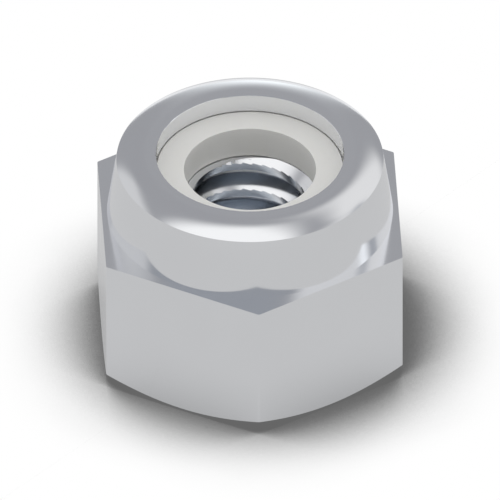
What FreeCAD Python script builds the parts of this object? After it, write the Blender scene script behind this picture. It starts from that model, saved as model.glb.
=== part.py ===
"""Nylon insert lock nut: a steel body with a swaged collar, and the nylon ring trapped in it.

The nut lies on its bearing face. The origin is the centre of that face, +Z is the thread's axis,
and two of the six corners of the hexagon lie on the Y axis. Everything is in millimetres.
"""
import FreeCAD, Part

import math
import os

# Hexagon
ACROSS_FLATS = 9.525
HEX_HEIGHT = 4.875
BEARING_FACE_DIAMETER = 9.24
BASE_CHAMFER_DEGREES = 30.0

# Collar above the hexagon: a slight cone with a barrelled side, a sharp edge, a rounded
# shoulder and a flat rim
COLLAR_HEIGHT = 2.295
COLLAR_FOOT_DIAMETER = 9.176
COLLAR_EDGE_DIAMETER = 8.576
COLLAR_EDGE_DROP = 0.265
COLLAR_SIDE_BULGE = 0.008
RIM_FLAT_DIAMETER = 6.64

# Lip that the collar is swaged into, and the pocket under it
LIP_OPENING_DIAMETER = 6.04
LIP_THICKNESS = 0.626
POCKET_DIAMETER = 7.60
POCKET_BEND_RADIUS = 0.22
SEAT_ABOVE_SHOULDER = 0.525

# Tapped bore, drawn at the thread's minor diameter
THREAD_MINOR_DIAMETER = 3.724
COUNTERSINK_DIAMETER = 5.10
COUNTERSINK_DEGREES = 45.0

# Nylon ring
INSERT_HOLE_DIAMETER = 4.237
INSERT_SIDE_CLEARANCE = 0.03
INSERT_TOP_CLEARANCE = 0.021
INSERT_CORNER_RELIEF = 0.06

# Heights that follow from those sizes
TOP = HEX_HEIGHT + COLLAR_HEIGHT
SEAT = HEX_HEIGHT + SEAT_ABOVE_SHOULDER
LIP_UNDERSIDE = TOP - LIP_THICKNESS


def point(radius, height):
    """A point of a half section, in the plane of X and Z."""
    return FreeCAD.Vector(radius, 0, height)


def line(start, end):
    """A straight edge between two points of a half section."""
    return Part.LineSegment(start, end).toShape()


def bulged_edge(start, end, bulge):
    """A round edge between two points, which stands out by the bulge halfway."""
    along = (end - start).normalize()
    outwards = FreeCAD.Vector(along.z, 0, -along.x)
    return Part.Arc(start, (start + end) * 0.5 + outwards * bulge, end).toShape()


def round_edge(centre, radius, start_degrees, end_degrees):
    """A round edge of a half section, about its centre, with angles from +X towards +Z."""
    angles = [start_degrees, (start_degrees + end_degrees) / 2, end_degrees]
    points = [
        centre + FreeCAD.Vector(math.cos(math.radians(a)), 0, math.sin(math.radians(a))) * radius
        for a in angles
    ]
    return Part.Arc(*points).toShape()


def turned(edges):
    """The solid that a closed half section makes when it is turned about the Z axis."""
    face = Part.Face(Part.Wire(edges))
    solid = face.revolve(FreeCAD.Vector(0, 0, 0), FreeCAD.Vector(0, 0, 1), 360)
    return solid if solid.Volume > 0 else solid.reversed()


def hexagon():
    """The hexagonal bar, with corners on the Y axis and flats square to the X axis."""
    corner_radius = ACROSS_FLATS / 2 / math.cos(math.radians(30))
    corners = [
        FreeCAD.Vector(
            corner_radius * math.cos(math.radians(30 + 60 * step)),
            corner_radius * math.sin(math.radians(30 + 60 * step)),
            0,
        )
        for step in range(6)
    ]
    outline = Part.makePolygon(corners + corners[:1])
    return Part.Face(outline).extrude(FreeCAD.Vector(0, 0, HEX_HEIGHT))


def chamfer_envelope():
    """The turned shape that cuts the hexagon's lower corners back to the round bearing face.

    Where its cone leaves a flat it draws the arc that is seen along each lower edge.
    """
    bearing_radius = BEARING_FACE_DIAMETER / 2
    rise = HEX_HEIGHT * math.tan(math.radians(BASE_CHAMFER_DEGREES))
    outer_radius = bearing_radius + HEX_HEIGHT
    section = [
        point(0, 0),
        point(bearing_radius, 0),
        point(outer_radius, rise),
        point(outer_radius, HEX_HEIGHT),
        point(0, HEX_HEIGHT),
    ]
    return turned([line(a, b) for a, b in zip(section, section[1:] + section[:1])])


def collar():
    """The collar as swaged: side, sharp edge, rounded shoulder and flat rim, still solid inside."""
    flat_radius = RIM_FLAT_DIAMETER / 2
    run = COLLAR_EDGE_DIAMETER / 2 - flat_radius
    bend = (run ** 2 + COLLAR_EDGE_DROP ** 2) / (2 * COLLAR_EDGE_DROP)
    turn = math.degrees(math.asin(run / bend))
    foot = point(COLLAR_FOOT_DIAMETER / 2, HEX_HEIGHT)
    edge = point(COLLAR_EDGE_DIAMETER / 2, TOP - COLLAR_EDGE_DROP)
    flat_start = point(flat_radius, TOP)
    overlap = point(0, HEX_HEIGHT / 2)
    overlap_foot = point(COLLAR_FOOT_DIAMETER / 2, HEX_HEIGHT / 2)
    return turned([
        line(overlap, overlap_foot),
        line(overlap_foot, foot),
        bulged_edge(foot, edge, COLLAR_SIDE_BULGE),
        round_edge(point(flat_radius, TOP - bend), bend, 90 - turn, 90),
        line(flat_start, point(0, TOP)),
        line(point(0, TOP), overlap),
    ])


def hollow():
    """The space inside the body: countersink, bore, seat, pocket with its bend, and lip opening."""
    bore = THREAD_MINOR_DIAMETER / 2
    countersink = COUNTERSINK_DIAMETER / 2
    countersink_depth = (countersink - bore) / math.tan(math.radians(COUNTERSINK_DEGREES))
    pocket = POCKET_DIAMETER / 2
    opening = LIP_OPENING_DIAMETER / 2
    bend_centre = point(pocket - POCKET_BEND_RADIUS, LIP_UNDERSIDE - POCKET_BEND_RADIUS)
    return turned([
        line(point(0, 0), point(countersink, 0)),
        line(point(countersink, 0), point(bore, countersink_depth)),
        line(point(bore, countersink_depth), point(bore, SEAT)),
        line(point(bore, SEAT), point(pocket, SEAT)),
        line(point(pocket, SEAT), point(pocket, LIP_UNDERSIDE - POCKET_BEND_RADIUS)),
        round_edge(bend_centre, POCKET_BEND_RADIUS, 0, 90),
        line(point(pocket - POCKET_BEND_RADIUS, LIP_UNDERSIDE), point(opening, LIP_UNDERSIDE)),
        line(point(opening, LIP_UNDERSIDE), point(opening, TOP)),
        line(point(opening, TOP), point(0, TOP)),
        line(point(0, TOP), point(0, 0)),
    ])


def nut_body():
    """The steel body: chamfered hexagon and collar in one piece, hollowed out."""
    return hexagon().common(chamfer_envelope()).fuse(collar()).cut(hollow()).removeSplitter()


def nylon_insert():
    """The nylon ring, standing on the seat, with its upper outer edge rounded to clear the bend."""
    outer = POCKET_DIAMETER / 2 - INSERT_SIDE_CLEARANCE
    inner = INSERT_HOLE_DIAMETER / 2
    top = LIP_UNDERSIDE - INSERT_TOP_CLEARANCE
    corner = POCKET_BEND_RADIUS + INSERT_CORNER_RELIEF
    return turned([
        line(point(inner, SEAT), point(outer, SEAT)),
        line(point(outer, SEAT), point(outer, top - corner)),
        round_edge(point(outer - corner, top - corner), corner, 0, 90),
        line(point(outer - corner, top), point(inner, top)),
        line(point(inner, top), point(inner, SEAT)),
    ])


def main():
    """Write one file for each piece."""
    os.makedirs("parts", exist_ok=True)
    for name, shape in {"nut_body": nut_body(), "nylon_insert": nylon_insert()}.items():
        solid = shape.Solids[0]
        solid.exportStep("parts/" + name + ".step")
        print(name, len(shape.Solids), "solid", round(solid.Volume, 3), "mm3", solid.isValid())


main()
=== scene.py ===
"""Nylon insert lock nut, number 10-24, standing on its bearing face.

The hexagon, the swaged collar and the tapped bore are one turned piece of zinc plated steel. The
natural nylon ring lies in the pocket under the collar's lip. All sizes are in millimetres until
a mesh is made, which is in metres.
"""
import logging
import math
from dataclasses import dataclass, field
from enum import Enum

import bpy
import numpy as np
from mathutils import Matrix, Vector


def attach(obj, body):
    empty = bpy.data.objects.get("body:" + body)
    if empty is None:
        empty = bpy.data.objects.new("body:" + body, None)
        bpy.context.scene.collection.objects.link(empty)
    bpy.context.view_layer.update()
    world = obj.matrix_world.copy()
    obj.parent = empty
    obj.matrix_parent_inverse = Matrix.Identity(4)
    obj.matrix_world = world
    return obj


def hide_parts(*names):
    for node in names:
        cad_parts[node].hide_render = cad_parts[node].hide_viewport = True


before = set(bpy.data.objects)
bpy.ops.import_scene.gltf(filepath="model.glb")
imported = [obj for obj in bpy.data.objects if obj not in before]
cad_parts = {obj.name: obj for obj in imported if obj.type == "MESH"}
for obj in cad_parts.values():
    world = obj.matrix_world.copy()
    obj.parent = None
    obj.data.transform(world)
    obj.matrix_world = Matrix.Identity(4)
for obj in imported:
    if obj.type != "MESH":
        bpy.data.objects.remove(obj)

MM = 0.001
# Points closer together than this, in metres, are one point.
WELD = 1e-7
# What the blank tells the thread's tree about each of its points.
LAYERS = {"row_turns": "FLOAT", "column_turn": "FLOAT", "land_edge": "FLOAT", "in_bore": "BOOLEAN"}
LOG = logging.getLogger("lock_nut")

# What goes into a node's input: a node, one of its sockets, or a value.
Feed = bpy.types.Node | bpy.types.NodeSocket | Vector | tuple | float


def linear(hex_colour: str) -> tuple[float, float, float, float]:
    """Turns an sRGB colour into the linear one that shaders take.

    Args:
        hex_colour: The colour as "#RRGGBB".

    Returns:
        Linear red, green and blue, and an alpha of 1.
    """
    parts = [int(hex_colour[i : i + 2], 16) / 255 for i in (1, 3, 5)]
    red, green, blue = [p / 12.92 if p <= 0.04045 else ((p + 0.055) / 1.055) ** 2.4 for p in parts]
    return red, green, blue, 1.0


def add_node(
    tree: bpy.types.NodeTree, kind: str, settings: dict | None = None, inputs: dict | None = None
) -> bpy.types.Node:
    """Adds a node, sets it, and links or sets its inputs.

    Args:
        tree: The tree that gets the node.
        kind: The node's type name.
        settings: Properties of the node, by name.
        inputs: What goes into its inputs, by name or number: a node, a socket or a value.

    Returns:
        The new node.
    """
    node = tree.nodes.new(kind)
    for name, value in (settings or {}).items():
        setattr(node, name, value)
    for key, value in (inputs or {}).items():
        if isinstance(value, bpy.types.Node):
            value = value.outputs[0]
        if isinstance(value, bpy.types.NodeSocket):
            tree.links.new(value, node.inputs[key])
        else:
            node.inputs[key].default_value = value
    return node


def maths(tree: bpy.types.NodeTree, operation: str, *values: Feed, clamp: bool = False) -> bpy.types.Node:
    """Adds a node that does one sum.

    Args:
        tree: The tree that gets the node.
        operation: The sum's name in Blender.
        values: What it works on, in order.
        clamp: Whether the result is held between 0 and 1.

    Returns:
        The new node.
    """
    settings = {"operation": operation, "use_clamp": clamp}
    return add_node(tree, "ShaderNodeMath", settings, dict(enumerate(values)))


def length(tree: bpy.types.NodeTree, vector: Feed) -> bpy.types.NodeSocket:
    """Adds a node that measures a vector, and returns its result."""
    return add_node(tree, "ShaderNodeVectorMath", {"operation": "LENGTH"}, {0: vector}).outputs["Value"]


def blend(tree: bpy.types.NodeTree, share: Feed, first: Feed, second: Feed) -> bpy.types.NodeSocket:
    """Adds a node that blends two colours.

    Args:
        tree: The tree that gets the node.
        share: How much of the second colour there is, from 0 to 1.
        first: The first colour.
        second: The second colour.

    Returns:
        The blended colour.
    """
    return add_node(tree, "ShaderNodeMix", {"data_type": "RGBA"}, {0: share, 6: first, 7: second}).outputs[2]


def smooth_rise(
    tree: bpy.types.NodeTree, value: Feed, start: float, end: float, low: float = 0.0
) -> bpy.types.Node:
    """Adds a node whose result rises smoothly up to 1.

    Args:
        tree: The tree that gets the node.
        value: What the result depends on.
        start: The value at which the rise starts.
        end: The value at which it ends.
        low: The result before the rise.

    Returns:
        The new node.
    """
    inputs = {"Value": value, "From Min": start, "From Max": end, "To Min": low}
    return add_node(tree, "ShaderNodeMapRange", {"interpolation_type": "SMOOTHSTEP"}, inputs)


def noise(
    tree: bpy.types.NodeTree, size: float, detail: float = 2.0, roughness: float = 0.5
) -> bpy.types.NodeSocket:
    """Adds a noise that lies still in the piece.

    Args:
        tree: The tree that gets the nodes.
        size: Width of its largest spots, in millimetres.
        detail: How many finer layers it has.
        roughness: How strong those are.

    Returns:
        The noise, from 0 to 1.
    """
    place = add_node(tree, "ShaderNodeTexCoord").outputs["Object"]
    inputs = {"Vector": place, "Scale": 1 / (size * MM), "Detail": detail, "Roughness": roughness}
    return add_node(tree, "ShaderNodeTexNoise", None, inputs).outputs[0]


def relief(tree: bpy.types.NodeTree, height: Feed, depth: float, under: Feed | None = None) -> bpy.types.Node:
    """Adds a fine relief.

    Args:
        tree: The tree that gets the node.
        height: What the relief follows.
        depth: Its depth in millimetres.
        under: A relief that it lies on.

    Returns:
        The new node.
    """
    inputs = {"Strength": 1.0, "Distance": depth * MM, "Height": height}
    if under is not None:
        inputs["Normal"] = under
    return add_node(tree, "ShaderNodeBump", None, inputs)


def new_finish(name: str) -> tuple[bpy.types.Material, bpy.types.NodeTree]:
    """Makes a material whose node tree is still empty.

    Args:
        name: The material's name.

    Returns:
        The material and its tree.
    """
    made = bpy.data.materials.new(name)
    made.use_nodes = True
    made.node_tree.nodes.clear()
    return made, made.node_tree


def new_object(name: str, data: bpy.types.ID) -> bpy.types.Object:
    """Makes an object and puts it into the scene.

    Args:
        name: The object's name.
        data: Its mesh or camera.

    Returns:
        The object.
    """
    made = bpy.data.objects.new(name, data)
    bpy.context.scene.collection.objects.link(made)
    return made


def layer(items: bpy.types.bpy_prop_collection, name: str, kind: type) -> np.ndarray:
    """Reads one property of all the vertices, corners or faces of a mesh.

    Args:
        items: The vertices, corners, faces or values of an attribute.
        name: The property's name.
        kind: The type of its numbers.

    Returns:
        One value for each item, or one row of three for each where it is a vector.
    """
    width = 3 if name in ("co", "vector") else 1
    values = np.zeros(len(items) * width, kind)
    items.foreach_get(name, values)
    return values.reshape(-1, 3) if width == 3 else values


def direction(azimuth: float, elevation: float) -> Vector:
    """The unit vector that points at an azimuth and an elevation.

    Args:
        azimuth: Degrees from +X towards +Y.
        elevation: Degrees above the floor.

    Returns:
        The unit vector.
    """
    turn, rise = math.radians(azimuth), math.radians(elevation)
    return Vector((math.cos(turn) * math.cos(rise), math.sin(turn) * math.cos(rise), math.sin(rise)))


def arc(centre: tuple[float, float], radius: float, start: float, end: float, steps: int) -> list:
    """Points on a round part of a half section.

    Args:
        centre: Radius and height of its centre.
        radius: Its own radius.
        start: First angle in degrees, from outwards towards up.
        end: Last angle in degrees.
        steps: How many straight pieces stand for it.

    Returns:
        Pairs of radius and height, both ends among them.
    """
    angles = [math.radians(start + (end - start) * i / steps) for i in range(steps + 1)]
    return [(centre[0] + radius * math.cos(a), centre[1] + radius * math.sin(a)) for a in angles]


class Seam(Enum):
    """How a turned mesh closes where its last column meets the first."""

    JOINED = "faces lead from the last column back to the first"
    DOUBLED = "the last column lies on the first, and the two are welded later"


def ring_faces(rows: int, columns: int, seam: Seam) -> list[tuple[int, ...]]:
    """Faces of a closed ring of vertices that are stored row by row, up the hole and round outside.

    Args:
        rows: Points round the closed section.
        columns: Places round the axis.
        seam: How the ring closes.

    Returns:
        One tuple of four vertex numbers for each face.
    """
    faces = []
    for row in range(rows):
        above = (row + 1) % rows
        for column in range(columns if seam is Seam.JOINED else columns - 1):
            beside = (column + 1) % columns
            corners = (
                row * columns + column,
                above * columns + column,
                above * columns + beside,
                row * columns + beside,
            )
            faces.append(corners)
    return faces


def finish_edges(mesh: bpy.types.Mesh, sharp_degrees: float) -> None:
    """Shades a mesh smooth, and sharp where two faces meet at more than an angle.

    Args:
        mesh: The mesh to shade.
        sharp_degrees: The angle in degrees.
    """
    mesh.polygons.foreach_set("use_smooth", np.ones(len(mesh.polygons), bool))
    mesh.set_sharp_from_angle(angle=math.radians(sharp_degrees))
    mesh.update()


@dataclass(frozen=True)
class BrightZincPlate:
    """Bright zinc plate on cold-formed steel: a smooth mirror, slightly blue, softened by the plate.

    The plate follows the steel's faint forging waves and has a very fine grain of its own. The
    thread's roots carry a painted shade: their colour is darker and bluer from the radius root_start
    on and fully at root_end. The bore is what lies inside bore_limit and below bore_top.
    """

    colour: str = "#F0F1F3"
    root_painted_shade: tuple[float, float, float] = (0.787, 0.81, 0.84)
    root_start: float = 1.93
    root_end: float = 2.2
    bore_limit: float = 2.5
    bore_top: float = 5.2
    roughness: float = 0.13
    roughness_spread: float = 0.02
    wave_size: float = 1.6
    wave_depth: float = 0.00012
    wave_range: tuple[float, float] = (0.3, 0.7)
    grain_size: float = 0.09
    grain_depth: float = 0.00004

    def material(self) -> bpy.types.Material:
        """Builds the finish.

        Returns:
            The material.
        """
        made, tree = new_finish("bright_zinc_plate")
        # The plate is thicker in some places, so its gloss varies over a millimetre or two.
        waves = noise(tree, self.wave_size)
        gloss = add_node(
            tree,
            "ShaderNodeMapRange",
            None,
            {
                "Value": waves,
                "From Min": self.wave_range[0],
                "From Max": self.wave_range[1],
                "To Min": self.roughness - self.roughness_spread,
                "To Max": self.roughness + self.roughness_spread,
            },
        )
        grain = noise(tree, self.grain_size, detail=3.0, roughness=0.6)
        wavy = relief(tree, waves, self.wave_depth)
        grained = relief(tree, grain, self.grain_depth, under=wavy)
        place = add_node(tree, "ShaderNodeTexCoord").outputs["Object"]
        parts = add_node(tree, "ShaderNodeSeparateXYZ", None, {0: place}).outputs
        across = add_node(tree, "ShaderNodeCombineXYZ", None, {0: parts[0], 1: parts[1]})
        radius = length(tree, across)
        # Painted shade: the colour of the thread's roots is made darker and bluer in place of the light lost
        # deep in them.
        deep = smooth_rise(tree, radius, self.root_start * MM, self.root_end * MM)
        near = maths(tree, "LESS_THAN", radius, self.bore_limit * MM)
        below = maths(tree, "LESS_THAN", parts[2], self.bore_top * MM)
        within = maths(tree, "MULTIPLY", near, below)
        root_shade_mask = maths(tree, "MULTIPLY", deep, within)
        bright = linear(self.colour)
        root_shade_colour = tuple(level * share for level, share in zip(bright, self.root_painted_shade))
        plated = blend(tree, root_shade_mask, bright, (*root_shade_colour, 1.0))
        shader = add_node(
            tree,
            "ShaderNodeBsdfPrincipled",
            None,
            {
                "Base Color": plated,
                "Metallic": 1.0,
                "Roughness": gloss,
                "Normal": grained,
            },
        )
        add_node(tree, "ShaderNodeOutputMaterial", None, {"Surface": shader})
        return made


@dataclass(frozen=True)
class NaturalNylon:
    """Natural nylon 6/6, moulded: milky off-white, satin, and a little light gets into it."""

    colour: str = "#EAE9E6"
    shade_colour: str = "#E6E5E1"
    roughness: float = 0.42
    roughness_spread: float = 0.05
    cloud_size: float = 1.2
    grain_size: float = 0.05
    grain_depth: float = 0.0006
    light_depth: float = 0.04

    def material(self) -> bpy.types.Material:
        """Builds the finish.

        Returns:
            The material.
        """
        made, tree = new_finish("natural_nylon")
        # Moulded nylon is faintly cloudy.
        clouds = noise(tree, self.cloud_size)
        cloudy = blend(tree, clouds, linear(self.shade_colour), linear(self.colour))
        grain = noise(tree, self.grain_size)
        satin = add_node(
            tree,
            "ShaderNodeMapRange",
            None,
            {
                "Value": grain,
                "To Min": self.roughness - self.roughness_spread,
                "To Max": self.roughness + self.roughness_spread,
            },
        )
        grained = relief(tree, grain, self.grain_depth)
        shader = add_node(
            tree,
            "ShaderNodeBsdfPrincipled",
            None,
            {
                "Base Color": cloudy,
                "Roughness": satin,
                "IOR": 1.53,
                "Subsurface Weight": 0.3,
                "Subsurface Radius": (1.0, 1.0, 0.9),
                "Subsurface Scale": self.light_depth * MM,
                "Normal": grained,
            },
        )
        add_node(tree, "ShaderNodeOutputMaterial", None, {"Surface": shader})
        return made


@dataclass(frozen=True)
class Hexagon:
    """The wrenching part: six flats, two of them square to the X axis, and a chamfered base."""

    across_flats: float = 9.525
    height: float = 4.875
    bearing_face_diameter: float = 9.24
    base_chamfer_degrees: float = 30.0
    corner_radius: float = 0.08

    def outline(self, degrees: np.ndarray) -> np.ndarray:
        """The outline's distance from the axis, with each corner rounded a little.

        Args:
            degrees: Angles round the axis.

        Returns:
            One radius for each angle.
        """
        from_flat = np.radians((degrees + 30) % 60 - 30)
        flat = self.across_flats / 2 / np.cos(from_flat)
        centre = self.corner_centre()
        from_corner = np.radians(degrees % 60 - 30)
        reach = self.corner_radius**2 - (centre * np.sin(from_corner)) ** 2
        rounded = centre * np.cos(from_corner) + np.sqrt(np.maximum(reach, 0))
        return np.where(np.abs(np.degrees(from_corner)) < self.rounded_degrees(), rounded, flat)

    def corner_centre(self) -> float:
        """How far from the axis the centre of a corner's rounding lies."""
        return (self.across_flats / 2 - self.corner_radius) / math.cos(math.radians(30))

    def rounded_degrees(self) -> float:
        """How far the rounding reaches to either side of a corner, in degrees round the axis."""
        along = self.corner_centre() + self.corner_radius * math.cos(math.radians(30))
        return math.degrees(math.atan2(self.corner_radius * math.sin(math.radians(30)), along))

    def chamfer_height(self, radius: np.ndarray) -> np.ndarray:
        """Height at which the base chamfer's cone meets the outline.

        Args:
            radius: The outline's distance from the axis.

        Returns:
            One height for each radius.
        """
        return (radius - self.bearing_face_diameter / 2) * math.tan(math.radians(self.base_chamfer_degrees))


@dataclass(frozen=True)
class SwagedCollar:
    """The collar above the hexagon: conical outside, rolled over the ring at the top."""

    height: float = 2.295
    foot_diameter: float = 9.176
    edge_diameter: float = 8.576
    edge_drop: float = 0.265
    side_bulge: float = 0.008
    rim_flat_diameter: float = 6.64
    lip_opening_diameter: float = 6.04
    lip_thickness: float = 0.626
    pocket_diameter: float = 7.60
    pocket_bend_radius: float = 0.22
    seat_height: float = 0.525
    underside_bevel: float = 0.004
    opening_bevel: float = 0.012
    rim_guard: float = 0.05
    bend_steps: int = 8
    rim_steps: int = 24
    side_steps: int = 10

    def rim_arc(self, top: float) -> tuple[tuple[float, float], float, float]:
        """The rounded part between the flat rim and the sharp edge, level where the flat starts.

        Args:
            top: Height of the flat rim.

        Returns:
            Its centre, its radius, and the angle in degrees at which it ends at the edge.
        """
        run = (self.edge_diameter - self.rim_flat_diameter) / 2
        radius = (run**2 + self.edge_drop**2) / (2 * self.edge_drop)
        return (self.rim_flat_diameter / 2, top - radius), radius, math.degrees(math.acos(run / radius))

    def section(self, shoulder: float) -> list[tuple[float, float]]:
        """The section from the pocket's foot over the lip to the collar's foot.

        Args:
            shoulder: Height of the hexagon's top face.

        Returns:
            Pairs of radius and height.
        """
        top = shoulder + self.height
        underside = top - self.lip_thickness
        pocket, bend = self.pocket_diameter / 2, self.pocket_bend_radius
        opening = self.lip_opening_diameter / 2
        inside = [(pocket, shoulder + self.seat_height)]
        inside += arc((pocket - bend, underside - bend), bend, 0, 90, self.bend_steps)
        inside += [(opening + self.underside_bevel, underside), (opening, underside + self.underside_bevel)]
        inside += [(opening, top - self.opening_bevel), (opening + self.opening_bevel, top)]
        centre, radius, end = self.rim_arc(top)
        rim = [(centre[0] - self.rim_guard, top)] + arc(centre, radius, 90, end, self.rim_steps)
        start, foot = Vector(rim[-1]), Vector((self.foot_diameter / 2, shoulder))
        outwards = Vector((start.y - foot.y, foot.x - start.x)).normalized()
        side = []
        for i in range(1, self.side_steps + 1):
            part = i / self.side_steps
            spot = start.lerp(foot, part) + outwards * (self.side_bulge * 4 * part * (1 - part))
            side.append((spot.x, spot.y))
        return inside + rim + side


@dataclass(frozen=True)
class TappedThread:
    """Number 10-24 thread, right-hand, with the small tears and the burr that a tap leaves.

    The phases are the rows' distances from a crest, in turns, from its middle to the root's. The
    burr runs from burr_start, also in turns, to the land's lower edge.
    """

    pitch: float = 1.058
    minor_diameter: float = 3.724
    major_diameter: float = 4.826
    land_share: float = 0.27
    flank_degrees: float = 32.0
    root_softness: float = 0.12
    crest_height_at_x: float = 4.902
    countersink_diameter: float = 5.10
    tears_per_turn: int = 36
    tear_height: float = 0.08
    tear_start: float = 0.43
    least_tear: float = 0.7
    greatest_tear: float = 1.15
    lower_tear_share: float = 0.3
    burr_height: float = 0.011
    burr_start: float = 0.11
    burr_fade: float = 0.1
    seed: int = 7
    phases: tuple[float, ...] = (
        0.0, 0.04, 0.075, 0.135, 0.195, 0.23, 0.26,
        0.3, 0.34, 0.37, 0.4, 0.43, 0.46, 0.5,
    )

    def rows(self, lower: float, upper: float) -> tuple[list[float], list[float]]:
        """Where the blank's rows lie along the thread, crest lands and flanks alike.

        Args:
            lower: Height at which the bore starts.
            upper: Height at which it ends.

        Returns:
            Each row's distance in turns from the crest at the X axis, and how much it follows the
            tears: 1 at the upper edge of a land, less at its lower edge, and else 0.
        """
        edge = self.land_share / 2
        first = math.floor((lower - self.crest_height_at_x) / self.pitch) - 1
        last = math.ceil((upper - self.crest_height_at_x) / self.pitch)
        turns, edges = [], []
        falling = {round(1 - phase, 6) for phase in self.phases if phase > 0}
        offsets = sorted({*self.phases, *falling, 1 - self.burr_start})
        for whole in range(first, last + 1):
            for offset in offsets:
                turns.append(whole + offset)
                at_edge = math.isclose(min(offset, 1 - offset), edge, abs_tol=1e-6)
                edges.append(float(at_edge) * (1.0 if offset < 0.5 else self.lower_tear_share))
        return turns, edges

    def depth(self, away: np.ndarray) -> np.ndarray:
        """How far the groove is cut beyond the minor radius.

        Args:
            away: Distances in turns from the nearest crest.

        Returns:
            One depth for each distance, with the root rounded as in the node tree.
        """
        slope = math.tan(math.radians(self.flank_degrees))
        cut = np.maximum(away - self.land_share / 2, 0) * self.pitch / slope
        full = (self.major_diameter - self.minor_diameter) / 2
        near = np.maximum(self.root_softness - np.abs(cut - full), 0) / self.root_softness
        return np.minimum(cut, full) - near**2 * self.root_softness / 4

    def normals(self, spots: np.ndarray, rows: np.ndarray, faces: np.ndarray) -> np.ndarray:
        """The thread's own normals, which its small tears don't disturb.

        Args:
            spots: The corners' positions, one row for each face and four corners in it.
            rows: The corners' distances in turns from the crest at the X axis.
            faces: Which of those faces belong to the thread.

        Returns:
            One normal for each corner of those faces.
        """
        step, middle, half_land = 0.001, 0.0001, self.land_share / 2
        offset = rows[faces] - np.round(rows[faces])
        away = np.abs(offset)
        # Corners in the middle of a land or a root belong to neither side.
        inside = (away > middle) & (away < 0.5 - middle)
        side = np.sign(np.where(inside, offset, 0).sum(axis=1, keepdims=True))
        land = away.mean(axis=1, keepdims=True) < half_land
        reach = np.maximum(away, half_land + 2 * step)
        slope = (self.depth(reach + step) - self.depth(reach - step)) / (2 * step * self.pitch)
        lowest = (side < 0) & (away.max(axis=1, keepdims=True) > half_land - step)
        burr = self.burr_height / ((half_land - self.burr_start) * self.pitch)
        rise = np.where(land, np.where(lowest, burr, 0.0), slope * side)
        spot = spots[faces]
        radius = np.hypot(spot[..., 0], spot[..., 1])
        out_x, out_y = spot[..., 0] / radius, spot[..., 1] / radius
        around = -rise * self.pitch * MM / (math.tau * radius)
        made = np.stack([-out_x - out_y * around, -out_y + out_x * around, rise], axis=-1)
        return made / np.linalg.norm(made, axis=-1, keepdims=True)

    def tree(self) -> tuple[bpy.types.NodeTree, dict[str, str]]:
        """Builds the node tree that cuts the thread into the blank's bore.

        Returns:
            The tree, and each input's identifier by its name.
        """
        tree = bpy.data.node_groups.new("tapped_thread", "GeometryNodeTree")
        names = {"Blank": "NodeSocketGeometry"}
        numbers = (
            "Pitch",
            "Minor Diameter",
            "Major Diameter",
            "Root Softness",
            "Crest Height",
            "Lower End",
            "Upper End",
            "Countersink Diameter",
            "Tear Height",
            "Flank Angle",
            "Tear Start",
            "Burr Height",
            "Burr Fade",
            "Land Share",
        )
        names.update(dict.fromkeys(numbers, "NodeSocketFloat"))
        names.update(dict.fromkeys(("Tears Per Turn", "Seed"), "NodeSocketInt"))
        names["Finish"] = "NodeSocketMaterial"
        sockets = {}
        for name, kind in names.items():
            sockets[name] = tree.interface.new_socket(name=name, in_out="INPUT", socket_type=kind)
        tree.interface.new_socket(name="Tapped", in_out="OUTPUT", socket_type="NodeSocketGeometry")
        given = add_node(tree, "NodeGroupInput").outputs

        row, turn, edge, bore = (
            add_node(tree, "GeometryNodeInputNamedAttribute", {"data_type": kind}, {0: name})
            for name, kind in LAYERS.items()
        )

        # Height of each point: along the helix, and held between the bore's two ends.
        along = maths(tree, "ADD", row, turn)
        helix = maths(tree, "MULTIPLY_ADD", along, given["Pitch"], given["Crest Height"])
        capped = maths(tree, "MINIMUM", helix, given["Upper End"])
        height = maths(tree, "MAXIMUM", capped, given["Lower End"])

        # Distance in turns from the nearest crest.
        above = maths(tree, "SUBTRACT", height, given["Crest Height"])
        climbed = maths(tree, "DIVIDE", above, given["Pitch"])
        phase = maths(tree, "SUBTRACT", climbed, turn)
        crest = maths(tree, "ROUND", phase)
        apart = maths(tree, "SUBTRACT", phase, crest)
        away = maths(tree, "ABSOLUTE", apart)

        # Flanks slope from the land to a rounded root.
        half_land = maths(tree, "MULTIPLY", given["Land Share"], 0.5)
        past = maths(tree, "SUBTRACT", away, half_land)
        flank = maths(tree, "MAXIMUM", past, 0.0)
        run = maths(tree, "MULTIPLY", flank, given["Pitch"])
        slope = maths(tree, "TANGENT", given["Flank Angle"])
        rise = maths(tree, "DIVIDE", run, slope)
        both = maths(tree, "SUBTRACT", given["Major Diameter"], given["Minor Diameter"])
        depth = maths(tree, "MULTIPLY", both, 0.5)
        cut = maths(tree, "SMOOTH_MIN", rise, depth, given["Root Softness"])
        thread = maths(tree, "MULTIPLY_ADD", given["Minor Diameter"], 0.5, cut)

        # The tap leaves a small burr along the lower edge of each land.
        lower = maths(tree, "LESS_THAN", apart, 0.0)
        at_edge = maths(tree, "GREATER_THAN", edge, 0.0)
        burred = maths(tree, "MULTIPLY", at_edge, lower)
        room = maths(tree, "SUBTRACT", given["Upper End"], helix)
        fade = maths(tree, "DIVIDE", room, given["Burr Fade"], clamp=True)
        fading = maths(tree, "MULTIPLY", burred, fade)
        proud = maths(tree, "MULTIPLY", fading, given["Burr Height"])
        edged = maths(tree, "SUBTRACT", thread, proud)

        # The countersink at the bearing face, at 45 degrees.
        raised = maths(tree, "SUBTRACT", given["Lower End"], height)
        cone = maths(tree, "MULTIPLY_ADD", given["Countersink Diameter"], 0.5, raised)
        radius = maths(tree, "MAXIMUM", edged, cone)

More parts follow.
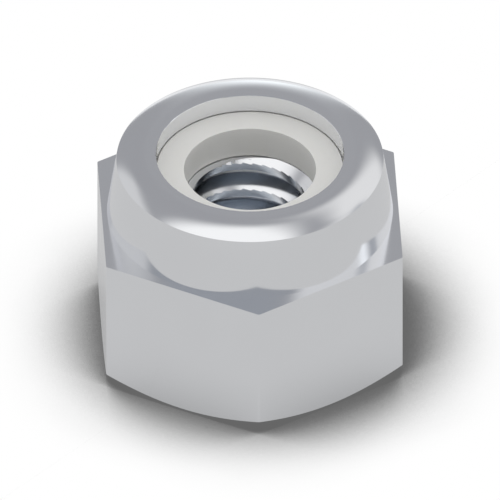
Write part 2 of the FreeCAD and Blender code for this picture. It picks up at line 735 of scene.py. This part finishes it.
        # Tears along the edges of the lands: each starts with a step and fades out.
        counted = maths(tree, "MULTIPLY_ADD", turn, given["Tears Per Turn"], given["Tear Start"])
        tooth = maths(tree, "FRACT", counted)
        floored = maths(tree, "FLOOR", counted)
        number = maths(tree, "FLOORED_MODULO", floored, given["Tears Per Turn"])
        uneven = add_node(
            tree,
            "FunctionNodeRandomValue",
            {"data_type": "FLOAT"},
            {"ID": number, "Seed": given["Seed"], 2: self.least_tear, 3: self.greatest_tear},
        )
        centred = maths(tree, "SUBTRACT", tooth, 0.5)
        varied = maths(tree, "MULTIPLY", centred, uneven.outputs[1])
        scaled = maths(tree, "MULTIPLY", varied, given["Tear Height"])
        torn = maths(tree, "MULTIPLY_ADD", scaled, edge, helix)
        held = maths(tree, "MINIMUM", torn, given["Upper End"])
        kept = maths(tree, "MAXIMUM", held, given["Lower End"])

        angle = maths(tree, "MULTIPLY", turn, math.tau)
        cosine = maths(tree, "COSINE", angle)
        sine = maths(tree, "SINE", angle)
        along_x = maths(tree, "MULTIPLY", radius, cosine)
        along_y = maths(tree, "MULTIPLY", radius, sine)
        spot = add_node(tree, "ShaderNodeCombineXYZ", None, {0: along_x, 1: along_y, 2: kept})
        moved = add_node(
            tree,
            "GeometryNodeSetPosition",
            None,
            {"Geometry": given["Blank"], "Selection": bore, "Position": spot},
        )
        closed = add_node(tree, "GeometryNodeMergeByDistance", None, {"Geometry": moved, "Distance": WELD})
        single = add_node(tree, "GeometryNodeRealizeInstances", None, {"Geometry": closed})
        dressed = add_node(
            tree, "GeometryNodeSetMaterial", None, {"Geometry": single, "Material": given["Finish"]}
        )
        add_node(tree, "NodeGroupOutput", None, {0: dressed})
        return tree, {name: socket.identifier for name, socket in sockets.items()}


@dataclass
class NutBody:
    """Hexagon, swaged collar and tapped bore, formed and cut from one piece of steel."""

    hexagon: Hexagon = field(default_factory=Hexagon)
    collar: SwagedCollar = field(default_factory=SwagedCollar)
    thread: TappedThread = field(default_factory=TappedThread)
    finish: BrightZincPlate = field(default_factory=BrightZincPlate)
    columns_per_turn: int = 252
    columns_by_a_corner: tuple[float, ...] = (0.25, 0.5, 0.75, 1.0, 1.15)
    sharp_degrees: float = 24.0

    def angles(self) -> np.ndarray:
        """The places of the section round the axis, closer together at the six corners.

        The extra places beside a corner are given as shares of its rounding's reach.

        Returns:
            Angles in degrees from 0 to 360, both among them.
        """
        regular = np.arange(self.columns_per_turn + 1) * 360 / self.columns_per_turn
        reach = self.hexagon.rounded_degrees()
        near = np.outer([-1, 1], self.columns_by_a_corner).ravel() * reach
        corners = np.concatenate([30 + 60 * corner + near for corner in range(6)])
        return np.unique(np.round(np.concatenate([regular, corners]), 6))

    def blank(self) -> bpy.types.Mesh:
        """Builds the closed mesh of the nut, with a plain bore whose rows are ready to be tapped.

        Returns:
            The mesh, with the attributes that the thread's tree reads.
        """
        degrees = self.angles()
        turns, edges = self.thread.rows(0.0, self.hexagon.height + self.collar.seat_height)
        outline = self.hexagon.outline(degrees)
        ones = np.ones(len(degrees))
        rows = [(ones * self.thread.minor_diameter / 2, ones * 0.0) for _ in turns]
        rows += [(ones * r, ones * h) for r, h in self.collar.section(self.hexagon.height)]
        rows.append((outline, ones * self.hexagon.height))
        rows.append((outline, self.hexagon.chamfer_height(outline)))
        rows.append((ones * self.hexagon.bearing_face_diameter / 2, ones * 0.0))
        angle = np.radians(degrees)
        spots = [np.stack([r * np.cos(angle), r * np.sin(angle), h], axis=1) for r, h in rows]
        mesh = bpy.data.meshes.new("nut_blank")
        faces = ring_faces(len(rows), len(degrees), Seam.DOUBLED)
        mesh.from_pydata((np.concatenate(spots) * MM).tolist(), [], faces)
        bored = len(turns)
        plain = len(rows) - bored
        layers = {
            "row_turns": np.repeat(np.float32(turns + [0.0] * plain), len(degrees)),
            "column_turn": np.tile(np.float32(degrees / 360), len(rows)),
            "land_edge": np.repeat(np.float32(edges + [0.0] * plain), len(degrees)),
            "in_bore": np.repeat(np.arange(len(rows)) < bored, len(degrees)),
        }
        for name, values in layers.items():
            mesh.attributes.new(name, LAYERS[name], "POINT").data.foreach_set("value", values)
        return mesh

    def smooth_thread(self, mesh: bpy.types.Mesh) -> None:
        """Gives the thread's lands and flanks their own normals and keeps all the others.

        Args:
            mesh: The tapped body, all of whose faces have four corners or fewer.
        """
        corners = layer(mesh.loops, "vertex_index", np.int64)
        kept = layer(mesh.corner_normals, "vector", np.float32)
        spots = layer(mesh.vertices, "co", np.float32).astype(float)
        rows = layer(mesh.attributes["row_turns"].data, "value", np.float32)
        bored = layer(mesh.attributes["in_bore"].data, "value", bool)
        sizes = layer(mesh.polygons, "loop_total", np.int64)
        starts = layer(mesh.polygons, "loop_start", np.int64)
        loops = starts[sizes == 4][:, None] + np.arange(4)
        points = corners[loops]
        height = spots[points][..., 2]
        radius = np.hypot(spots[points][..., 0], spots[points][..., 1])
        upper = (self.hexagon.height + self.collar.seat_height) * MM
        cone = self.thread.countersink_diameter / 2 * MM - height
        free = (height < upper - WELD) & (radius > cone + WELD) & bored[points]
        threaded = free.all(axis=1)
        kept[loops[threaded]] = self.thread.normals(spots[points], rows[points], threaded)
        mesh.normals_split_custom_set(kept.tolist())

    def build(self) -> bpy.types.Object:
        """Makes the nut's body with its thread.

        Returns:
            The finished piece.
        """
        material = self.finish.material()
        blank = new_object("nut_blank", self.blank())
        tree, inputs = self.thread.tree()
        modifier = blank.modifiers.new("tapped_thread", "NODES")
        modifier.node_group = tree
        thread = self.thread
        settings = {
            "Pitch": thread.pitch * MM,
            "Minor Diameter": thread.minor_diameter * MM,
            "Major Diameter": thread.major_diameter * MM,
            "Root Softness": thread.root_softness * MM,
            "Crest Height": thread.crest_height_at_x * MM,
            "Lower End": 0.0,
            "Upper End": (self.hexagon.height + self.collar.seat_height) * MM,
            "Countersink Diameter": thread.countersink_diameter * MM,
            "Tear Height": thread.tear_height * MM,
            "Flank Angle": math.radians(thread.flank_degrees),
            "Tear Start": thread.tear_start,
            "Burr Height": thread.burr_height * MM,
            "Burr Fade": thread.burr_fade * MM,
            "Land Share": thread.land_share,
            "Tears Per Turn": thread.tears_per_turn,
            "Seed": thread.seed,
            "Finish": material,
        }
        for name, value in settings.items():
            modifier[inputs[name]] = value
        depsgraph = bpy.context.evaluated_depsgraph_get()
        mesh = bpy.data.meshes.new_from_object(blank.evaluated_get(depsgraph))
        blank.modifiers.remove(modifier)
        bpy.data.objects.remove(blank)
        mesh.name = "nut_body_steel"
        finish_edges(mesh, self.sharp_degrees)
        self.smooth_thread(mesh)
        for name in LAYERS:
            mesh.attributes.remove(mesh.attributes[name])
        return new_object("nut_body_steel", mesh)


@dataclass
class NylonRing:
    """The nylon ring in the pocket, whose hole is smaller than the screw.

    The lip has pressed its top in a little, so a dark crease shows along the lip. A guard is the
    distance from an edge to the row of points that keeps the face beside it flat.
    """

    seat: float = 5.4
    outer_diameter: float = 7.54
    hole_diameter: float = 4.237
    height: float = 1.123
    corner_relief: float = 0.25
    hole_edge_radius: float = 0.006
    wall_guard: float = 0.3
    top_guard: float = 0.05
    foot_bevel: float = 0.05
    foot_undercut: float = 0.038
    undercut_width: float = 0.35
    undercut_bend: tuple[float, float] = (0.12, 0.6)
    crease_diameter: float = 5.988
    crease_width: float = 0.03
    crease_depth: float = 0.05
    edge_steps: int = 4
    corner_steps: int = 8
    columns: int = 180
    sharp_degrees: float = 35.0
    finish: NaturalNylon = field(default_factory=NaturalNylon)

    def section(self) -> list[tuple[float, float]]:
        """The ring's closed section, up its hole, outwards over its top and back under it.

        Returns:
            Pairs of radius and height.
        """
        hole, outside, top = self.hole_diameter / 2, self.outer_diameter / 2, self.seat + self.height
        edge, relief = self.hole_edge_radius, self.corner_relief
        wall = (self.seat + self.foot_undercut, self.seat + self.wall_guard, top - self.wall_guard)
        points = [(hole, height) for height in wall]
        points += arc((hole + edge, top - edge), edge, 180, 90, self.edge_steps)
        crease, pressed = self.crease_diameter / 2, top - self.crease_depth
        points += [(hole + edge + self.top_guard, top), (crease, top), (crease + self.crease_width, pressed)]
        points += arc((outside - relief, pressed - relief), relief, 90, 0, self.corner_steps)
        points += [(outside, self.seat + self.foot_bevel), (outside - self.foot_bevel, self.seat)]
        along, share = self.undercut_bend
        points += [(hole + self.undercut_width, self.seat)]
        points += [(hole + along, self.seat + self.foot_undercut * share)]
        return points

    def build(self) -> bpy.types.Object:
        """Makes the ring.

        Returns:
            The finished piece.
        """
        angle = np.arange(self.columns) * math.tau / self.columns
        section = self.section()
        across, along = np.cos(angle), np.sin(angle)
        spots = [np.stack([r * across, r * along, np.full_like(angle, h)], axis=1) for r, h in section]
        mesh = bpy.data.meshes.new("nylon_ring")
        faces = ring_faces(len(section), self.columns, Seam.JOINED)
        mesh.from_pydata((np.concatenate(spots) * MM).tolist(), [], faces)
        mesh.materials.append(self.finish.material())
        finish_edges(mesh, self.sharp_degrees)
        return new_object("nylon_ring", mesh)


@dataclass(frozen=True)
class SoftPanel:
    """A soft light panel far away, given by its corners as they are seen from the nut.

    The corners are pairs of azimuth and elevation in degrees, in order round the panel, and the
    softness is the width of its edges in degrees. Some panels show only to light that is mirrored
    twice, as in the image of the collar on the hexagon's top face.
    """

    name: str
    corners: tuple[tuple[float, float], ...]
    level: tuple[float, float, float]
    softness: float
    only_twice_mirrored: bool = False

    def edges(self) -> list[Vector]:
        """The planes through the nut that bound the panel.

        Returns:
            One unit vector for each side, which points to the panel's inside.
        """
        spots = [direction(*corner) for corner in self.corners]
        middle = sum(spots, Vector())
        planes = []
        for i, spot in enumerate(spots):
            plane = spot.cross(spots[(i + 1) % len(spots)]).normalized()
            planes.append(plane if plane.dot(middle) > 0 else -plane)
        return planes


@dataclass
class Studio:
    """Pale floor, soft panels all round, and the camera of a parallel view.

    The camera sees a white floor with the nut's shadow, which is full where no more than
    shadow_open of the sky is left. The metal sees the floor's levels: one round the nut, one far
    out and one under the bore, with a shade that is full where mirrored_hidden of the sky is hidden.
    """

    backdrop_level: tuple[float, float, float] = (0.358, 0.362, 0.382)
    floor_level: tuple[float, float, float] = (0.605, 0.606, 0.61)
    far_floor_level: tuple[float, float, float] = (0.9, 0.905, 0.915)
    far_floor_start: float = 22.0
    far_floor_end: float = 45.0
    floor_colour: str = "#E6E6E6"
    bore_floor_level: tuple[float, float, float] = (0.6, 0.645, 0.69)
    bore_floor_radius: float = 2.55
    floor_half_width: float = 2000.0
    floor_drop: float = 0.01
    shadow_reach: float = 3.8
    shadow_lean: tuple[float, float] = (-0.11, -0.045)
    shadow_open: float = 0.5
    shadow_level: float = 0.133
    mirrored_reach: float = 2.9
    mirrored_hidden: float = 0.48
    mirrored_bend: float = 1.4
    mirrored_shade: float = 0.246
    shade_samples: int = 16
    dome_horizon: tuple[float, float, float] = (0.74, 0.745, 0.735)
    dome_zenith: tuple[float, float, float] = (0.91, 0.915, 0.925)
    dome_dip: float = 0.6
    view_azimuth: float = -2.985
    view_elevation: float = 37.97
    view_width: float = 16.045
    view_height: float = 3.234
    view_distance: float = 60.0
    view_clips: tuple[float, float] = (1.0, 10000.0)
    panels: tuple[SoftPanel, ...] = (
        SoftPanel(
            "front",
            ((-59.9, 20.0), (-59.6, 60.1), (-120.0, 73.3), (-177.9, 59.7), (-177.8, 20.4), (-120.0, 5.1)),
            (0.357, 0.374, 0.405),
            19.9,
        ),
        SoftPanel(
            "overhead",
            ((80.6, 62.3), (-39.9, 60.0), (-128.2, 60.0), (170.0, 53.8)),
            (1.03, 1.03, 1.03),
            15.0,
        ),
        SoftPanel(
            "right",
            ((79.2, 50.7), (58.2, 23.0), (16.1, 16.7), (19.6, 59.3)),
            (0.815, 0.813, 0.815),
            12.2,
        ),
        SoftPanel(
            "front right",
            ((-56.3, 2.9), (24.5, 5.1), (29.4, 56.7), (-13.8, 62.4), (-55.4, 57.7)),
            (0.775, 0.774, 0.779),
            13.3,
        ),
        SoftPanel(
            "left",
            ((117.0, 43.3), (131.3, 47.5), (174.3, 47.6), (184.1, 19.6), (131.0, 6.0), (123.5, 20.8)),
            (0.662, 0.665, 0.676),
            10.6,
        ),
        SoftPanel(
            "flag",
            ((15.4, 15.1), (11.4, 27.0), (18.3, 49.3), (33.0, 45.2), (25.6, 31.1), (20.6, 19.4)),
            (0.39, 0.405, 0.44),
            8.3,
        ),
        SoftPanel(
            "strip",
            ((1.6, 22.1), (1.1, 34.1), (8.6, 35.9), (10.5, 22.0)),
            (1.16, 1.185, 1.215),
            7.2,
        ),
        SoftPanel(
            "back",
            ((82.1, 19.6), (75.6, -12.0), (95.4, -11.9), (84.9, 24.6)),
            (1.31, 1.36, 1.38),
            20.0,
        ),
        SoftPanel(
            "collar's left silhouette",
            ((89.0, 28.0), (89.0, 52.0), (105.0, 53.0), (121.0, 50.0), (121.0, 30.0), (105.0, 27.0)),
            (0.59, 0.594, 0.62),
            8.0,
            only_twice_mirrored=True,
        ),
        SoftPanel(
            "collar's right silhouette",
            ((56.0, 30.0), (56.0, 50.0), (74.0, 53.0), (93.0, 51.0), (93.0, 28.0), (74.0, 27.0)),
            (0.83, 0.834, 0.855),
            8.0,
            only_twice_mirrored=True,
        ),
    )

    def world(self) -> None:
        """Builds the light: a backdrop with the panels in it, and white for the camera.

        What the nylon scatters comes from a smooth dome, which the metal doesn't show.
        """
        world = bpy.data.worlds.new("studio")
        world.use_nodes = True
        tree = world.node_tree
        tree.nodes.clear()
        towards = add_node(tree, "ShaderNodeTexCoord").outputs["Generated"]
        ray = add_node(tree, "ShaderNodeLightPath").outputs
        # A depth counts how often a ray was mirrored or scattered, so 1.5 lies between once and twice.
        twice = maths(tree, "GREATER_THAN", ray["Glossy Depth"], 1.5)
        light = add_node(tree, "ShaderNodeRGB").outputs[0]
        light.default_value = (*self.backdrop_level, 1.0)
        for panel in self.panels:
            covered = twice if panel.only_twice_mirrored else 1.0
            half = math.sin(math.radians(panel.softness)) / 2
            for plane in panel.edges():
                product = add_node(
                    tree, "ShaderNodeVectorMath", {"operation": "DOT_PRODUCT"}, {0: towards, 1: plane}
                )
                soft = smooth_rise(tree, product.outputs["Value"], -half, half)
                covered = maths(tree, "MULTIPLY", covered, soft)
            light = blend(tree, covered, light, (*panel.level, 1.0))
        lit = add_node(tree, "ShaderNodeBackground", None, {"Color": light, "Strength": 1.0})
        split = add_node(tree, "ShaderNodeSeparateXYZ", None, {0: towards}).outputs
        shaded = blend(tree, split[2], (*self.dome_horizon, 1.0), (*self.dome_zenith, 1.0))
        # The dome is dimmer before and behind the nut than beside it.
        ahead = maths(tree, "MULTIPLY", split[1], split[1])
        evened = maths(tree, "MULTIPLY_ADD", ahead, -self.dome_dip, 1 + self.dome_dip / 4)
        dome = add_node(tree, "ShaderNodeBackground", None, {"Color": shaded, "Strength": evened})
        white = add_node(tree, "ShaderNodeBackground", None, {"Color": (1, 1, 1, 1), "Strength": 1.0})
        scattered = maths(tree, "GREATER_THAN", ray["Diffuse Depth"], 0.5)
        shown = add_node(tree, "ShaderNodeMixShader", None, {0: scattered, 1: lit, 2: dome})
        chosen = add_node(tree, "ShaderNodeMixShader", None, {0: ray["Is Camera Ray"], 1: shown, 2: white})
        add_node(tree, "ShaderNodeOutputWorld", None, {"Surface": chosen})
        world.cycles.sampling_method = "NONE"
        bpy.context.scene.world = world

    def floor_finish(self) -> bpy.types.Material:
        """Builds the floor's finish, which the camera and the metal see each in its own way.

        Returns:
            The material.
        """
        made, tree = new_finish("studio_floor")
        # The light comes a little more from the front and the left, so the shadow is wider
        # behind the nut and at its right.
        lean = add_node(tree, "ShaderNodeCombineXYZ", None, dict(enumerate((*self.shadow_lean, 1.0))))
        lit = add_node(
            tree,
            "ShaderNodeAmbientOcclusion",
            {"samples": self.shade_samples},
            {"Distance": self.shadow_reach * MM, "Normal": lean},
        )
        shade = smooth_rise(tree, lit.outputs["AO"], self.shadow_open, 1.0, low=self.shadow_level)
        seen = add_node(tree, "ShaderNodeEmission", None, {"Color": shade, "Strength": 1.0})
        # In the metal the floor is darker only close to the nut, and lighter far away.
        open_sky = add_node(
            tree,
            "ShaderNodeAmbientOcclusion",
            {"samples": self.shade_samples},
            {"Distance": self.mirrored_reach * MM},
        )
        hidden = maths(tree, "SUBTRACT", 1.0, open_sky.outputs["AO"])
        share = maths(tree, "DIVIDE", hidden, self.mirrored_hidden)
        bent = maths(tree, "POWER", share, self.mirrored_bend)
        left = maths(tree, "MULTIPLY_ADD", bent, -self.mirrored_shade, 1.0, clamp=True)
        place = add_node(tree, "ShaderNodeTexCoord").outputs["Object"]
        distance = length(tree, place)
        faded = smooth_rise(tree, distance, self.far_floor_start * MM, self.far_floor_end * MM)
        ground = blend(tree, faded, (*self.floor_level, 1.0), (*self.far_floor_level, 1.0))
        shaded = blend(tree, left, (0.0, 0.0, 0.0, 1.0), ground)
        # Through the bore the threads show a floor that is a little bluer.
        outside = maths(tree, "GREATER_THAN", distance, self.bore_floor_radius * MM)
        parted = blend(tree, outside, (*self.bore_floor_level, 1.0), shaded)
        mirrored = add_node(tree, "ShaderNodeEmission", None, {"Color": parted, "Strength": 1.0})
        paper = add_node(tree, "ShaderNodeBsdfDiffuse", None, {"Color": linear(self.floor_colour)})
        ray = add_node(tree, "ShaderNodeLightPath").outputs
        plain = add_node(tree, "ShaderNodeMixShader", None, {0: ray["Is Glossy Ray"], 1: paper, 2: mirrored})
        chosen = add_node(tree, "ShaderNodeMixShader", None, {0: ray["Is Camera Ray"], 1: plain, 2: seen})
        add_node(tree, "ShaderNodeOutputMaterial", None, {"Surface": chosen})
        return made

    def floor(self) -> bpy.types.Object:
        """Makes the floor, just under the bearing face.

        Returns:
            The floor.
        """
        half, low = self.floor_half_width * MM, -self.floor_drop * MM
        corners = [(-half, -half, low), (half, -half, low), (half, half, low), (-half, half, low)]
        mesh = bpy.data.meshes.new("floor")
        mesh.from_pydata(corners, [], [(0, 1, 2, 3)])
        mesh.materials.append(self.floor_finish())
        return new_object("floor", mesh)

    def camera(self) -> None:
        """Places the camera of the photograph's parallel view."""
        made = bpy.data.cameras.new("camera")
        made.type = "ORTHO"
        made.ortho_scale = self.view_width * MM
        made.clip_start, made.clip_end = (distance * MM for distance in self.view_clips)
        camera = new_object("camera", made)
        back = direction(self.view_azimuth - 90, self.view_elevation)
        camera.location = Vector((0, 0, self.view_height * MM)) + back * (self.view_distance * MM)
        camera.rotation_euler = back.to_track_quat("Z", "Y").to_euler()
        bpy.context.scene.camera = camera

    def build(self) -> bpy.types.Object:
        """Sets up the light, the floor and the camera.

        Returns:
            The floor.
        """
        scene = bpy.context.scene
        scene.view_settings.view_transform = "Standard"
        self.world()
        self.camera()
        return self.floor()


def main() -> None:
    """Builds the nut and its surroundings in order."""
    logging.basicConfig(level=logging.INFO, format="%(message)s")
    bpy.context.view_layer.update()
    Studio().build()
    pieces = (
        (NutBody(), "nut_body", "plated_steel"),
        (NylonRing(), "nylon_insert", "nylon"),
    )
    for maker, node, slot in pieces:
        piece = maker.build()
        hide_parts(node)
        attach(piece, "root")
        LOG.info("%s: %d faces, for %s", piece.name, len(piece.data.polygons), node)


if __name__ == "__main__":
    main()
